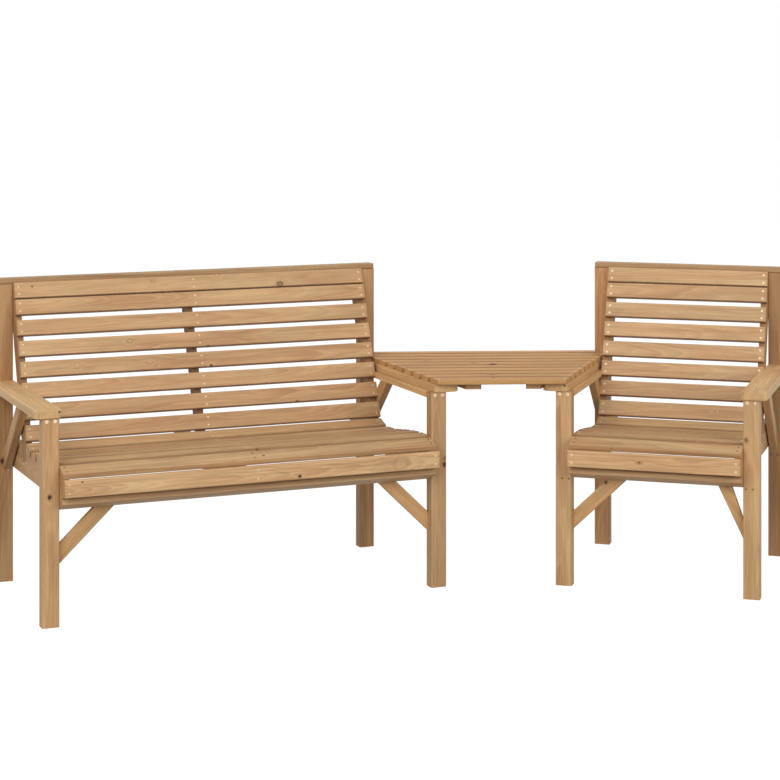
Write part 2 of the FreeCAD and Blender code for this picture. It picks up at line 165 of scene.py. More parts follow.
BENCH_TONES = {
    "front_leg_right": 0.20,
    "top_rail": -0.02,
    "leg_brace_left": -0.10,
    "leg_brace_right": -0.12,
    "seat_slat_1": 0.06,
    # Painted shade: the middle batten shows only through gaps between slats, so it is darkened much more.
    "batten_middle": 0.42,
    "batten_right": 0.15,
    "seat_slat_2": -0.06,
    "seat_slat_3": 0.06,
    "back_slat_5": 0.03,
    "back_slat_6": 0.07,
    "back_slat_7": 0.08,
    "back_slat_8": 0.10,
}
CHAIR_TONES = {
    "top_rail": -0.06,
    "rear_post_left": -0.22,
    "rear_post_right": 0.20,
    "leg_brace_left": -0.18,
    "leg_brace_right": -0.12,
    "seat_slats_1": -0.02,
    "seat_slats_2": -0.08,
    "back_slats_5": 0.03,
    "back_slats_6": 0.05,
    "back_slats_7": 0.07,
    "back_slats_8": 0.08,
}


@dataclass(frozen=True)
class KnotMark:
    """A knot at a set place of the set, in millimetres, with its radius."""

    kind: KnotKind
    place: Triple
    radius: float

    def point(self) -> Vector:
        """The knot's middle, in metres."""
        return Vector(self.place) / 1000.0


RINGED, BLACK, LIGHT, PALE, FIGURE = KnotKind
KNOT_ROWS = (
    (RINGED, -366, 331, 851, 8.0),
    (LIGHT, -752, 200, 876, 3.6),
    (PALE, -560, 274, 886, 5.0),
    (BLACK, -1103, 72, 876, 1.8),
    (LIGHT, -815, 111, 706, 5.5),
    (PALE, -966, 33, 646, 5.0),
    (PALE, -755, 109, 643, 5.0),
    (BLACK, -584, 186, 679, 3.0),
    (BLACK, -574, 167, 623, 3.0),
    (FIGURE, -15, -174, 384, 17.0),
    (BLACK, -308, -281, 372, 3.5),
    (BLACK, -901, -497, 405, 2.0),
    (PALE, -74, -143, 436, 4.0),
    (RINGED, -430, -237, 443, 2.5),
    (BLACK, -411, -279, 431, 2.5),
    (BLACK, -313, 217, 502, 3.5),
    (RINGED, 88, 295, 613, 5.0),
    (RINGED, 233, 245, 613, 5.5),
    (BLACK, 290, 221, 613, 8.0),
    (RINGED, 269, 8, 613, 5.0),
    (BLACK, 264, -51, 613, 4.0),
    (BLACK, 120, -64, 360, 5.0),
    (BLACK, -993, -469, 358, 4.5),
    (RINGED, 979, -243, 458, 4.5),
    (BLACK, -1189, 56, 359, 5.0),
    (PALE, -1101, -90, 381, 4.0),
    (BLACK, -1122, -34, 389, 3.0),
    (LIGHT, 599, -155, 425, 1.8),
    (RINGED, 673, -205, 388, 2.8),
    (LIGHT, 968, 170, 464, 4.0),
    (FIGURE, 849, -181, 444, 9.0),
    (BLACK, 1112, 147, 391, 2.5),
    (RINGED, 1015, -208, 598, 3.0),
    (RINGED, 1042, -87, 598, 3.0),
    (BLACK, 593, -93, 308, 3.5),
)
KNOT_MARKS = tuple(KnotMark(kind, tuple(place), radius) for kind, *place, radius in KNOT_ROWS)


# Node building

class Graph:
    """A node tree with short calls for adding and linking nodes."""

    def __init__(self, tree: bpy.types.NodeTree) -> None:
        """Take over a tree and empty it."""
        self.tree = tree
        tree.nodes.clear()

    def wire(self, node: Node, inputs: dict[str | int, object]) -> Node:
        """Feed a node.

        Args:
            node: the node that receives.
            inputs: an output socket or a plain value for each input, by name or place.

        Returns:
            The same node.
        """
        for name, value in inputs.items():
            if isinstance(value, Socket):
                self.tree.links.new(value, node.inputs[name])
            else:
                node.inputs[name].default_value = value
        return node

    def add(self, kind: str, *values: object, **settings: object) -> Node:
        """Add a node.

        Args:
            kind: the node's type name.
            values: sockets or plain values for its first inputs.
            settings: attributes to set on it.

        Returns:
            The new node.
        """
        node = self.tree.nodes.new(kind)
        for name, value in settings.items():
            setattr(node, name, value)
        return self.wire(node, dict(enumerate(values)))

    def maths(self, operation: str, *values: object) -> Socket:
        """Arithmetic on numbers."""
        return self.add("ShaderNodeMath", *values, operation=operation).outputs[0]

    def times(self, first: object, second: object) -> Socket:
        """The product of two numbers."""
        return self.maths("MULTIPLY", first, second)

    def vector(self, operation: str, *values: object) -> Socket:
        """Arithmetic on vectors."""
        return self.add("ShaderNodeVectorMath", *values, operation=operation).outputs["Vector"]

    def length(self, value: Socket) -> Socket:
        """The length of a vector."""
        return self.add("ShaderNodeVectorMath", value, operation="LENGTH").outputs["Value"]

    def parts(self, value: Socket) -> list[Socket]:
        """The X, Y and Z of a vector."""
        return list(self.add("ShaderNodeSeparateXYZ", value).outputs)

    def join(self, x: object, y: object, z: object) -> Socket:
        """A vector of three numbers."""
        return self.add("ShaderNodeCombineXYZ", x, y, z).outputs[0]

    def noise(self, where: Socket, detail: float = 2.0, roughness: float = 0.5) -> Socket:
        """Smooth noise of scale one, with finer layers of some number and strength."""
        inputs = {"Vector": where, "Scale": 1.0, "Detail": detail, "Roughness": roughness}
        return self.wire(self.add("ShaderNodeTexNoise", noise_dimensions="3D"), inputs).outputs["Fac"]

    def drawn(self, where: Socket, scale: Triple, shift: Socket, detail: float) -> Socket:
        """Noise with a scale of its own along, across and through the board, moved by a shift."""
        place = self.vector("ADD", self.vector("MULTIPLY", where, scale), shift)
        return self.noise(place, detail, 0.55)

    def ramp(self, value: object, low: float, high: float, start: float = 0.0, end: float = 1.0) -> Socket:
        """Smooth step from a start level at the low value to an end level at the high one."""
        settings = {"interpolation_type": "SMOOTHSTEP"}
        return self.add("ShaderNodeMapRange", value, low, high, start, end, **settings).outputs[0]

    def mix(self, amount: object, first: object, second: object, blend: str = "MIX") -> Socket:
        """The first colour with an amount of the second."""
        node = self.add("ShaderNodeMix", data_type="RGBA", blend_type=blend)
        return self.wire(node, {0: amount, 6: first, 7: second}).outputs[2]

    def bump(self, strength: float, distance: float, height: Socket) -> Socket:
        """The normal of a relief, from its strength, its depth in metres and its height."""
        inputs = {"Strength": strength, "Distance": distance, "Height": height}
        return self.wire(self.add("ShaderNodeBump"), inputs).outputs[0]

    def surface(self, inputs: dict[str, object]) -> None:
        """End the material in a Principled shader with these inputs."""
        shader = self.wire(self.add("ShaderNodeBsdfPrincipled"), inputs)
        self.add("ShaderNodeOutputMaterial", shader.outputs[0])


def new_material(name: str) -> tuple[bpy.types.Material, Graph]:
    """Make a material.

    Args:
        name: its name.

    Returns:
        The material, and its empty graph.
    """
    material = bpy.data.materials.new(name)
    material.use_nodes = True
    return material, Graph(material.node_tree)


def shown(thing: bpy.types.Object) -> bpy.types.Object:
    """The object, linked to the scene."""
    bpy.context.scene.collection.objects.link(thing)
    return thing


def new_piece(name: str, points: list[Vector], faces: list[list[int]]) -> bpy.types.Object:
    """Make a mesh object.

    Args:
        name: its name.
        points: its corners.
        faces: the numbers of each face's corners.

    Returns:
        The object, linked to the scene.
    """
    mesh = bpy.data.meshes.new(name)
    mesh.from_pydata(points, [], faces)
    mesh.update()
    return shown(bpy.data.objects.new(name, mesh))


# Shared effects

NUMBER = "NodeSocketFloat"
TRIPLE = "NodeSocketVector"


class EffectGroup:
    """A shader node group with named sockets, built once and used in many materials."""

    name = ""
    inputs: dict[str, str] = {}
    outputs: dict[str, str] = {}

    def tree(self) -> bpy.types.NodeTree:
        """Find the group's tree, or build it at its first use.

        Returns:
            The node group.
        """
        if self.name in bpy.data.node_groups:
            return bpy.data.node_groups[self.name]
        tree = bpy.data.node_groups.new(self.name, "ShaderNodeTree")
        for direction, sockets in (("INPUT", self.inputs), ("OUTPUT", self.outputs)):
            for label, kind in sockets.items():
                tree.interface.new_socket(label, in_out=direction, socket_type=kind)
        self.graph = Graph(tree)
        self.given = list(self.graph.add("NodeGroupInput").outputs)[:len(self.inputs)]
        self.graph.wire(self.graph.add("NodeGroupOutput"), self.build())
        return tree

    def build(self) -> Sockets:
        """Fill the group, and return a socket for each output."""
        raise NotImplementedError

    def place(self, graph: Graph, **values: object) -> Node:
        """Put the group in a material.

        Args:
            graph: the material's graph.
            values: inputs by name, with underscores for spaces.

        Returns:
            The group's node.
        """
        node = graph.add("ShaderNodeGroup", node_tree=self.tree())
        return graph.wire(node, {name.replace("_", " ").title(): value for name, value in values.items()})


class KnotGroup(EffectGroup):
    """What scattered and marked knots share."""

    outputs = {"Core": NUMBER, "Outline": NUMBER, "Halo": NUMBER, "Bent Place": TRIPLE}

    def looks(self, away: Socket, radius: Socket, present: object) -> Sockets:
        """Shape a knot, and bend the grain round it.

        Args:
            away: coordinates from the knot's middle, in metres.
            radius: the knot's radius.
            present: 1 where there is a knot, 0 where there is none.

        Returns:
            Sockets for the knot, its outline, the wood round it and the bent coordinates.
        """
        graph = self.graph
        place, seed = self.given[:2]
        rough = graph.drawn(place, (110.0, 190.0, 190.0), seed, 3.0)
        distance = graph.length(graph.vector("MULTIPLY", away, (0.80, 1.0, 0.20)))
        ragged = graph.times(distance, graph.maths("MULTIPLY_ADD", rough, 0.9, 0.55))
        ratio = graph.maths("DIVIDE", ragged, radius)
        outline = graph.times(graph.ramp(ratio, 0.62, 0.98), graph.ramp(ratio, 1.34, 1.02))
        reach = graph.times(graph.maths("POWER", graph.ramp(ratio, 6.0, 0.6), 1.6), present)
        sideways = graph.times(graph.times(graph.parts(away)[1], reach), -0.60)
        push = graph.join(0.0, sideways, graph.times(reach, -0.003))
        return {
            "Core": graph.times(graph.ramp(ratio, 1.05, 0.80), present),
            "Outline": graph.times(outline, present),
            "Halo": graph.times(graph.ramp(ratio, 3.2, 1.0), present),
            "Bent Place": graph.vector("ADD", place, push),
        }


class Knots(KnotGroup):
    """Scattered knots, at most one in each cell of a board."""

    name = "Wood knots"
    inputs = {"Place": TRIPLE, "Seed": NUMBER, "Amount": NUMBER}
    cell_length = 0.34
    cell_width = 0.075

    def build(self) -> Sockets:
        """Fill the group.

        Returns:
            A socket for each output.
        """
        graph = self.graph
        place, seed, amount = self.given
        scaled = graph.vector("MULTIPLY", place, (1.0 / self.cell_length, 1.0 / self.cell_width, 0.0))
        spot = graph.vector("ADD", scaled, graph.join(seed, graph.times(seed, 1.7), 0.0))
        cells = graph.add("ShaderNodeTexVoronoi", voronoi_dimensions="2D", feature="F1")
        found = graph.wire(cells, {"Vector": spot, "Scale": 1.0}).outputs
        away = graph.vector("SUBTRACT", spot, found["Position"])
        metres = graph.vector("MULTIPLY", away, (self.cell_length, self.cell_width, 0.0))
        lottery, share, _ = graph.parts(found["Color"])
        present = graph.ramp(graph.maths("ADD", lottery, amount), 0.98, 1.0)
        return self.looks(metres, graph.maths("MULTIPLY_ADD", share, 0.0040, 0.0025), present)


class MarkedKnot(KnotGroup):
    """One knot at a set place."""

    name = "Marked knot"
    inputs = {"Place": TRIPLE, "Seed": NUMBER, "Centre": TRIPLE, "Radius": NUMBER}

    def build(self) -> Sockets:
        """Fill the group round the marked place."""
        place, _, centre, radius = self.given
        return self.looks(self.graph.vector("SUBTRACT", place, centre), radius, 1.0)


class Rings(EffectGroup):
    """Growth rings: cones round a pith line that runs slightly askew below the board."""

    name = "Growth rings"
    inputs = {"Place": TRIPLE, "Seed": NUMBER, "Depth": NUMBER, "Tilt": NUMBER, "Spacing": NUMBER}
    outputs = {"Late": NUMBER, "Early": NUMBER, "Band": NUMBER}

    def build(self) -> Sockets:
        """Fill the group.

        Returns:
            Sockets for the dark late wood, the pale early wood and the bands of slow and fast years.
        """
        graph = self.graph
        place, seed, depth, tilt, spacing = self.given
        along, across, deep = graph.parts(place)
        sway = graph.maths("MULTIPLY_ADD", graph.drawn(place, (2.4, 9.0, 9.0), seed, 1.0), 0.026, -0.013)
        lean = graph.maths("ADD", graph.times(along, tilt), sway)
        below = graph.maths("ADD", graph.maths("ADD", deep, depth), lean)
        aside = graph.maths("ADD", across, graph.times(graph.maths("SINE", seed), 0.020))
        count = graph.maths("DIVIDE", graph.length(graph.join(0.0, aside, below)), spacing)
        quick = graph.drawn(place, (5.0, 70.0, 70.0), seed, 3.0)
        ragged = graph.maths("ADD", count, graph.times(quick, 0.9))
        phase = graph.maths("FRACT", ragged)
        year = graph.noise(graph.join(graph.times(ragged, 0.42), seed, 0.0), 1.0)
        late = graph.times(graph.ramp(phase, 0.30, 0.88), graph.ramp(phase, 1.0, 0.92))
        early = graph.times(graph.ramp(phase, 0.0, 0.05), graph.ramp(phase, 0.24, 0.06))
        return {
            "Late": graph.times(late, graph.ramp(year, 0.30, 0.70, 0.25, 1.0)),
            "Early": graph.times(early, graph.ramp(year, 0.35, 0.65, 0.2, 1.0)),
            "Band": year,
        }


class Fibres(EffectGroup):
    """Fine lines, long streaks, clouds of uneven staining, pale flecks and warmth that run with the grain."""

    name = "Wood fibres"
    inputs = {"Place": TRIPLE, "Seed": NUMBER}
    looks = {
        "Fine": ((20.0, 800.0, 800.0), 3.0),
        "Streak": ((2.4, 190.0, 190.0), 3.0),
        "Cloud": ((3.0, 26.0, 26.0), 2.0),
        "Fleck": ((8.0, 240.0, 240.0), 2.0),
        "Warmth": ((4.5, 34.0, 34.0), 1.0),
    }
    outputs = dict.fromkeys(looks, NUMBER)

    def build(self) -> Sockets:
        """Fill the group with noises drawn out along the board.

        Returns:
            A socket for each look.
        """
        place, seed = self.given
        results = {}
        for step, (label, (scale, detail)) in enumerate(self.looks.items()):
            results[label] = self.graph.drawn(place, scale, self.graph.maths("ADD", seed, 7.3 * step), detail)
        results["Fleck"] = self.graph.ramp(results["Fleck"], 0.60, 0.74)
        return results


class EdgeWearAndShading(EffectGroup):
    """Rubbed arrises with a painted highlight on the upper ones, painted shade along the lower edge, and
    darker ends: masks near the edges of a board, broken up by noise.
    """

    name = "Edge wear"
    inputs = {"Place": TRIPLE, "Seed": NUMBER, "Half Size": TRIPLE}
    outputs = {"Rim": NUMBER, "Stain": NUMBER, "End": NUMBER}

    def build(self) -> Sockets:
        """Fill the group.

        Returns:
            Sockets for the rubbed upper edges, which also carry a painted highlight, for the painted shade
            along the lower edges, and for the ends.
        """
        graph = self.graph
        place, seed, half = self.given
        along, across, deep = graph.parts(graph.vector("SUBTRACT", half, graph.vector("ABSOLUTE", place)))
        rough = graph.drawn(place, (28.0, 120.0, 120.0), graph.join(seed, 0.0, seed), 3.0)
        ragged = graph.maths("MULTIPLY_ADD", rough, 0.006, -0.003)
        near = graph.maths("ADD", graph.maths("ADD", across, deep), ragged)
        lower = graph.maths("ADD", graph.parts(place)[1], graph.parts(half)[1])
        # The pale rim stays off the lower edge. On the upper arrises it is partly rubbed wear, partly a
        # painted highlight.
        upper = graph.maths("SUBTRACT", 1.0, graph.ramp(lower, 0.012, 0.006))
        return {
            "Rim": graph.times(graph.ramp(near, 0.0052, 0.0006), upper),
            # Painted shade along the lower edge.
            "Stain": graph.ramp(graph.maths("MULTIPLY_ADD", ragged, 0.4, lower), 0.0046, 0.0018),
            "End": graph.ramp(graph.maths("ADD", along, ragged), 0.0040, 0.0),
        }


# Boards

ARRIS_ANGLE = math.radians(3.0)
KNOT_MARGIN = 0.002


@dataclass
class Board:
    """A board's own axes, found from its mesh: along the grain, across and through."""

    piece: bpy.types.Object
    centre: Vector = field(init=False)
    along: Vector = field(init=False)
    across: Vector = field(init=False)
    through: Vector = field(init=False)
    half: Vector = field(init=False)

    def __post_init__(self) -> None:
        """Measure the axes, the centre and the half sizes."""
        self.along = self.longest_arris()
        self.through = self.broad_face()
        self.across = self.through.cross(self.along).normalized()
        spans = []
        for axis in (self.along, self.across, self.through):
            reach = [vertex.co.dot(axis) for vertex in self.piece.data.vertices]
            spans.append((min(reach), max(reach)))
        self.half = Vector([(high - low) / 2.0 for low, high in spans])
        middles = [(high + low) / 2.0 for low, high in spans]
        self.centre = self.along * middles[0] + self.across * middles[1] + self.through * middles[2]

    def welded(self) -> bmesh.types.BMesh:
        """Load the board's form, with corners that share a place made one.

        Returns:
            The form, which the caller frees.
        """
        form = bmesh.new()
        form.from_mesh(self.piece.data)
        bmesh.ops.remove_doubles(form, verts=form.verts, dist=1e-6)
        return form

    def longest_arris(self) -> Vector:
        """Find the direction of the longest edge between two faces that differ in direction.

        Returns:
            The unit direction, with its largest part positive.
        """
        form = self.welded()
        lines = [
            edge.verts[1].co - edge.verts[0].co
            for edge in form.edges
            if len(edge.link_faces) == 2 and edge.calc_face_angle() > ARRIS_ANGLE
        ]
        form.free()
        longest = max(lines, key=lambda line: round(line.length, 5)).normalized()
        return -longest if max(longest, key=abs) < 0.0 else longest

    def broad_face(self) -> Vector:
        """Find the outward normal of the widest face that the grain runs in.

        Returns:
            The normal, facing up or to the front.
        """
        areas: dict[Triple, float] = {}
        for face in self.piece.data.polygons:
            if abs(face.normal.dot(self.along)) < 0.05:
                key = tuple(round(part, 2) for part in face.normal)
                areas[key] = areas.get(key, 0.0) + face.area
        normal = Vector(max(areas, key=lambda key: (round(areas[key], 5), key[2] - key[1])))
        normal -= self.along * normal.dot(self.along)
        if normal.z - normal.y < 0.0:
            normal.negate()
        return normal.normalized()

    def turn(self) -> Matrix:
        """Rotation from the board's own axes to the set's axes."""
        return Matrix((self.along, self.across, self.through)).transposed()

    def point(self, along: float, across: float, through: float) -> Vector:
        """The point at these distances from the board's centre."""
        return self.centre + self.along * along + self.across * across + self.through * through

    def own(self, point: Vector) -> Vector:
        """The point in the board's own coordinates, from its centre."""
        away = point - self.centre
        return Vector((away.dot(self.along), away.dot(self.across), away.dot(self.through)))

    def reach(self, direction: Vector) -> float:
        """Distance from the centre to the farthest corner in a direction."""
        return max((vertex.co - self.centre).dot(direction) for vertex in self.piece.data.vertices)

    def holds(self, mark: KnotMark) -> bool:
        """Whether a marked knot lies in the board's box or just outside it."""
        place = self.own(mark.point())
        return all(abs(part) < reach + KNOT_MARGIN for part, reach in zip(place, self.half))

    def splits(self) -> list["Board"]:
        """Make a separate board of each loose part of the mesh.

        Returns:
            The new boards, in the order of their place.
        """
        form = self.welded()
        loose = set(form.verts)
        index = operator.attrgetter("index")
        boards = []
        while loose:
            order = sorted(self.island(min(loose, key=index)), key=index)
            loose.difference_update(order)
            place = {vertex: number for number, vertex in enumerate(order)}
            faces = sorted({face for vertex in order for face in vertex.link_faces}, key=index)
            rows = [[place[vertex] for vertex in face.verts] for face in faces]
            name = f"{self.piece.name}_{len(boards) + 1}"
            boards.append(Board(new_piece(name, [vertex.co for vertex in order], rows)))
        form.free()
        return boards

    def island(self, start: bmesh.types.BMVert) -> set[bmesh.types.BMVert]:
        """Collect what hangs together with one vertex.

        Args:
            start: the vertex.

        Returns:
            The vertices of its board.
        """
        found = {start}
        waiting = [start]
        while waiting:
            vertex = waiting.pop()
            near = {edge.other_vert(vertex) for edge in vertex.link_edges} - found
            found |= near
            waiting += near
        return found


@dataclass
class Woodwork:
    """Dresses one board in wood, with a seed, cut and shade of its own.

    The tone is extra darkness, from -1 to 1. The edge shade share is the strength of the painted shade along
    the lower edge, less on a board whose edge faces the front.
    """

    board: Board
    finish: WoodFinish
    knot_share: float = 0.03
    tone: float = 0.0
    # Share of the painted shade along this board's lower edge.
    edge_shade_share: float = 1.0

    def dress(self) -> None:
        """Give the board its material."""
        piece = self.board.piece
        chance = random.Random(zlib.crc32(piece.name.encode()))
        self.seed = chance.uniform(3.0, 90.0)
        cut = chance.choices(tuple(Cut), (2, 4, 4))[0]
        shade = self.tone + chance.uniform(-1.0, 1.0) * self.finish.tone_spread
        material, self.graph = new_material("wood_" + piece.name)
        self.place_effects(*cut.value)
        self.graph.surface({
            "Base Color": self.worn(self.knotted(self.grain(1.0 - shade))),
            "Roughness": self.roughness(),
            "Normal": self.relief(),
            "Specular IOR Level": 0.35,
        })
        if not piece.material_slots:
            piece.data.materials.append(material)
        for slot in piece.material_slots:
            slot.link = "OBJECT"
            slot.material = material

    def place_effects(self, depth: float, tilt: float) -> None:
        """Place the effects: the knots first, because they bend the grain.

        Args:
            depth: how far the pith lies below the face.
            tilt: how far it leans.
        """
        place = self.place()
        self.knots = self.knot_chain(place)
        bent = self.knots[-1][0].outputs["Bent Place"]
        spacing = self.finish.ring_spacing
        self.rings = self.effect(Rings(), place=bent, depth=depth, tilt=tilt, spacing=spacing)
        self.fibres = self.effect(Fibres(), place=bent)
        self.wear = self.effect(EdgeWearAndShading(), place=place, half_size=self.board.half)

    def effect(self, group: EffectGroup, **values: object) -> Sockets:
        """The outputs of an effect, placed with the board's seed."""
        return group.place(self.graph, seed=self.seed, **values).outputs

    def place(self) -> Socket:
        """Find coordinates along, across and through the board.

        Returns:
            The coordinates' socket, in metres.
        """
        inputs = {
            "Vector": self.graph.add("ShaderNodeTexCoord").outputs["Object"],
            "Location": self.board.centre,
            "Rotation": self.board.turn().to_euler(),
        }
        return self.graph.wire(self.graph.add("ShaderNodeMapping", vector_type="TEXTURE"), inputs).outputs[0]

    def knot_chain(self, place: Socket) -> list[tuple[Node, KnotKind]]:
        """Place the scattered knots, and then each marked one on the grain that they bend.

        Args:
            place: coordinates on the board.

        Returns:
            Each knot's node and kind.
        """
        scattered = Knots().place(self.graph, place=place, seed=self.seed, amount=self.knot_share)
        knots = [(scattered, RINGED)]
        for mark in filter(self.board.holds, KNOT_MARKS):
            node = MarkedKnot().place(
                self.graph,
                place=knots[-1][0].outputs["Bent Place"],
                centre=self.board.own(mark.point()),
                radius=mark.radius / 1000.0,
                seed=self.seed + mark.radius,
            )
            knots.append((node, mark.kind))
        return knots

    def grain(self, level: float) -> Socket:
        """Layer the bands, rings, streaks, flecks and clouds of uneven staining.

        Args:
            level: brightness of this board.

        Returns:
            The colour's socket.
        """
        graph, finish, fibres = self.graph, self.finish, self.fibres
        late, rubbed = finish.tint(Tint.LATE), finish.tint(Tint.RUBBED)
        band = graph.ramp(self.rings["Band"], 0.34, 0.66, 0.0, finish.band_contrast)
        warmth = graph.times(graph.ramp(fibres["Warmth"], 0.36, 0.64), 0.40)
        share = graph.maths("MULTIPLY_ADD", band, 0.60, warmth)
        colour = graph.mix(share, finish.tint(Tint.HONEY), finish.tint(Tint.RUSSET))
        for amount, paint in (
            (graph.times(self.rings["Late"], finish.ring_contrast), late),
            (graph.times(self.rings["Early"], finish.early_contrast), rubbed),
            (graph.ramp(fibres["Streak"], 0.52, 0.74, 0.0, 0.34), late),
            (graph.times(fibres["Fleck"], 0.30), rubbed),
        ):
            colour = graph.mix(amount, colour, paint)
        cloud = graph.ramp(fibres["Cloud"], 0.32, 0.68, 0.92 * level, 1.08 * level)
        fine = graph.ramp(fibres["Fine"], 0.30, 0.70, 0.89, 1.11)
        lines = graph.ramp(fibres["Streak"], 0.36, 0.62, 1.0 + finish.streak, 1.0 - finish.streak)
        return graph.mix(1.0, colour, graph.times(graph.times(cloud, fine), lines), "MULTIPLY")

    def knotted(self, colour: Socket) -> Socket:
        """Lay the knots over the grain.

        Args:
            colour: the grain's colour.

        Returns:
            The colour's socket.
        """
        dark = (*self.finish.knot, 1.0)
        for node, kind in self.knots:
            core, outline, halo, pale = kind.value
            for label, strength, paint in (
                ("Halo", halo, self.finish.tint(Tint.HALO)),
                ("Core", pale, self.finish.tint(Tint.RUBBED)),
                ("Core", core, dark),
                ("Outline", outline, dark),
            ):
                if strength > 0.0:
                    colour = self.graph.mix(self.graph.times(node.outputs[label], strength), colour, paint)
        return colour

    def worn(self, colour: Socket) -> Socket:
        """Rub the upper arrises and paint a highlight on them, paint shade along the lower ones, and darken
        the ends.

        Args:
            colour: the wood's colour.

        Returns:
            The base colour's socket.
        """
        for label, strength, tint in (
            # Rubbed upper arrises, partly a painted highlight.
            ("Rim", self.finish.wear, Tint.RUBBED),
            # Painted shade along the lower edge.
            ("Stain", self.finish.stain * self.edge_shade_share, Tint.CREASE),
            ("End", 0.30, Tint.LATE),
        ):
            amount = self.graph.times(self.wear[label], strength)
            colour = self.graph.mix(amount, colour, self.finish.tint(tint))
        return colour

    def roughness(self) -> Socket:
        """Make late wood and rubbed edges more satin than the rest.

        Returns:
            The roughness socket.
        """
        middle = self.finish.roughness
        base = self.graph.ramp(self.fibres["Fine"], 0.2, 0.8, middle - 0.06, middle + 0.10)
        ringed = self.graph.maths("MULTIPLY_ADD", self.rings["Late"], -0.10, base)
        return self.graph.maths("MULTIPLY_ADD", self.wear["Rim"], -0.08, ringed)

    def relief(self) -> Socket:
        """Raise the late wood, the fibres and, slightly, the knots.

        Returns:
            The normal's socket.
        """
        fine = self.graph.times(self.fibres["Fine"], 0.60)
        height = self.graph.maths("MULTIPLY_ADD", self.rings["Late"], 0.45, fine)
        for node, _ in self.knots:
            height = self.graph.maths("MULTIPLY_ADD", node.outputs["Core"], 0.30, height)
        return self.graph.bump(self.finish.bump, 0.0006, height)


# Screws and plugs

@dataclass
class ScrewHead:
    """A countersunk head with a cross recess, facing up at its own origin."""

    radius: float
    rise: float = 0.0004
    rim_share: float = 0.86
    recess_length: float = 0.0020
    recess_width: float = 0.0005
    recess_depth: float = 0.0009
    recess_taper: float = 0.6

    def loops(self) -> list[list[Vector]]:
        """Outline the head from its rim down into the recess.

        Returns:
            Loops of twelve points each, anticlockwise.
        """
        long, wide = self.recess_length, self.recess_width
        arm = [Vector((long, -wide)), Vector((long, wide)), Vector((wide, wide))]
        turns = [Matrix.Rotation(math.radians(90.0 * quarter), 2) for quarter in range(4)]
        cross = [turn @ point for turn in turns for point in arm]
        rim = [point.normalized() * self.radius for point in cross]
        levels = (
            (rim, 1.0, -self.rise),
            (rim, 1.0, 0.0),
            (rim, self.rim_share, self.rise),
            (cross, 1.0, self.rise),
            (cross, self.recess_taper, self.rise - self.recess_depth),
        )
        return [[Vector((*(point * share), height)) for point in line] for line, share, height in levels]


@dataclass
class PlugHead:
    """A slightly domed wooden plug, facing up at its own origin."""

    radius: float = 0.0052
    rise: float = 0.0005
    sides: int = 24

    def loops(self) -> list[list[Vector]]:
        """Outline the plug from its rim to its top.

        Returns:
            Loops of as many points as it has sides, anticlockwise.
        """
        levels = ((1.0, -self.rise), (1.0, self.rise * 0.4), (0.90, self.rise), (0.45, self.rise * 1.1))
        angles = [2.0 * math.pi * index / self.sides for index in range(self.sides)]
        circle = [self.radius * Vector((math.cos(angle), math.sin(angle))) for angle in angles]
        return [[Vector((*(share * point), height)) for point in circle] for share, height in levels]


@dataclass
class Fasteners:
    """Collects heads of one kind and joins them in one piece."""

    name: str
    head: ScrewHead | PlugHead
    slot: str
    points: list[Vector] = field(default_factory=list)
    faces: list[list[int]] = field(default_factory=list)

    def drive(self, place: Vector, outward: Vector, upward: Vector, turn: float = 0.0) -> None:
        """Put a head on a face.

        Args:
            place: where it sits, on the face.
            outward: the face's normal.
            upward: any direction in the face.
            turn: how far the recess is turned, in radians.
        """
        sideways = upward.cross(outward).normalized()
        basis = Matrix((sideways, outward.cross(sideways), outward)).transposed()
        basis @= Matrix.Rotation(turn, 3, "Z")
        loops = self.head.loops()
        size = len(loops[0])
        start = len(self.points)
        self.points += [place + basis @ point for loop in loops for point in loop]
        last = len(self.points) - size
        for outer in range(start, last, size):
            for index in range(size):
                here, after = outer + index, outer + (index + 1) % size
                self.faces.append([here, after, after + size, here + size])
        self.faces.append(list(range(last, last + size)))

    def finish(self) -> bpy.types.Object:
        """Make the piece.

        Returns:
            The new piece, riding with the set.
        """
        piece = new_piece(self.name, self.points, self.faces)
        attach(piece, "root")
        return piece


def metal(name: str, finish: MetalFinish) -> bpy.types.Material:
    """Make a screw's metal, brighter where the driver rubbed it.

    Args:
        name: the material's name.
        finish: its colours and roughness.

    Returns:
        The material.
    """
    material, graph = new_material(name)
    source = graph.add("ShaderNodeTexCoord").outputs["Object"]
    spots = graph.noise(graph.vector("MULTIPLY", source, (900.0, 900.0, 900.0)), 3.0)
    graph.surface({
        "Base Color": graph.mix(graph.ramp(spots, 0.40, 0.65), (*finish.bright, 1.0), (*finish.dull, 1.0)),
        "Roughness": graph.ramp(spots, 0.3, 0.7, finish.roughness - 0.08, finish.roughness + 0.12),
        "Normal": graph.bump(0.2, 0.0001, spots),
        "Metallic": 0.4,
    })
    return material


# The seats and the tray

FRAME_WOODS = {
    "front_leg": (LEG_WOOD, 0.03),
    "rear_post": (POST_WOOD, 0.01),
    "top_rail": (RAIL_WOOD, 0.10),
    "seat_board": (FRAME_WOOD, 0.06),
    "cross_rail": (FRAME_WOOD, 0.08),
    "batten": (BATTEN_WOOD_AND_SHADE, 0.05),
    "brace": (FRAME_WOOD, 0.04),
    "arm_rail": (ARM_WOOD, 0.06),
    "arm_left": (ARM_WOOD, 0.06),
    "arm_right": (ARM_WOOD, 0.06),
}
# Share of the painted lower-edge shade on boards whose lower edge faces the front.
FRONT_SHADE_SHARE = 0.2


def separate(piece: bpy.types.Object) -> list[Board]:
    """Split a node of several boards, so that each has its own grain.

    Args:
        piece: the node's object.

    Returns:
        Its boards, or the node itself if it is one board.
    """
    whole = Board(piece)
    boards = whole.splits()
    if len(boards) == 1:
        bpy.data.objects.remove(boards[0].piece)
        return [whole]
    for board in boards:
        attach(board.piece, "root")
        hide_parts(piece.name)
    return boards


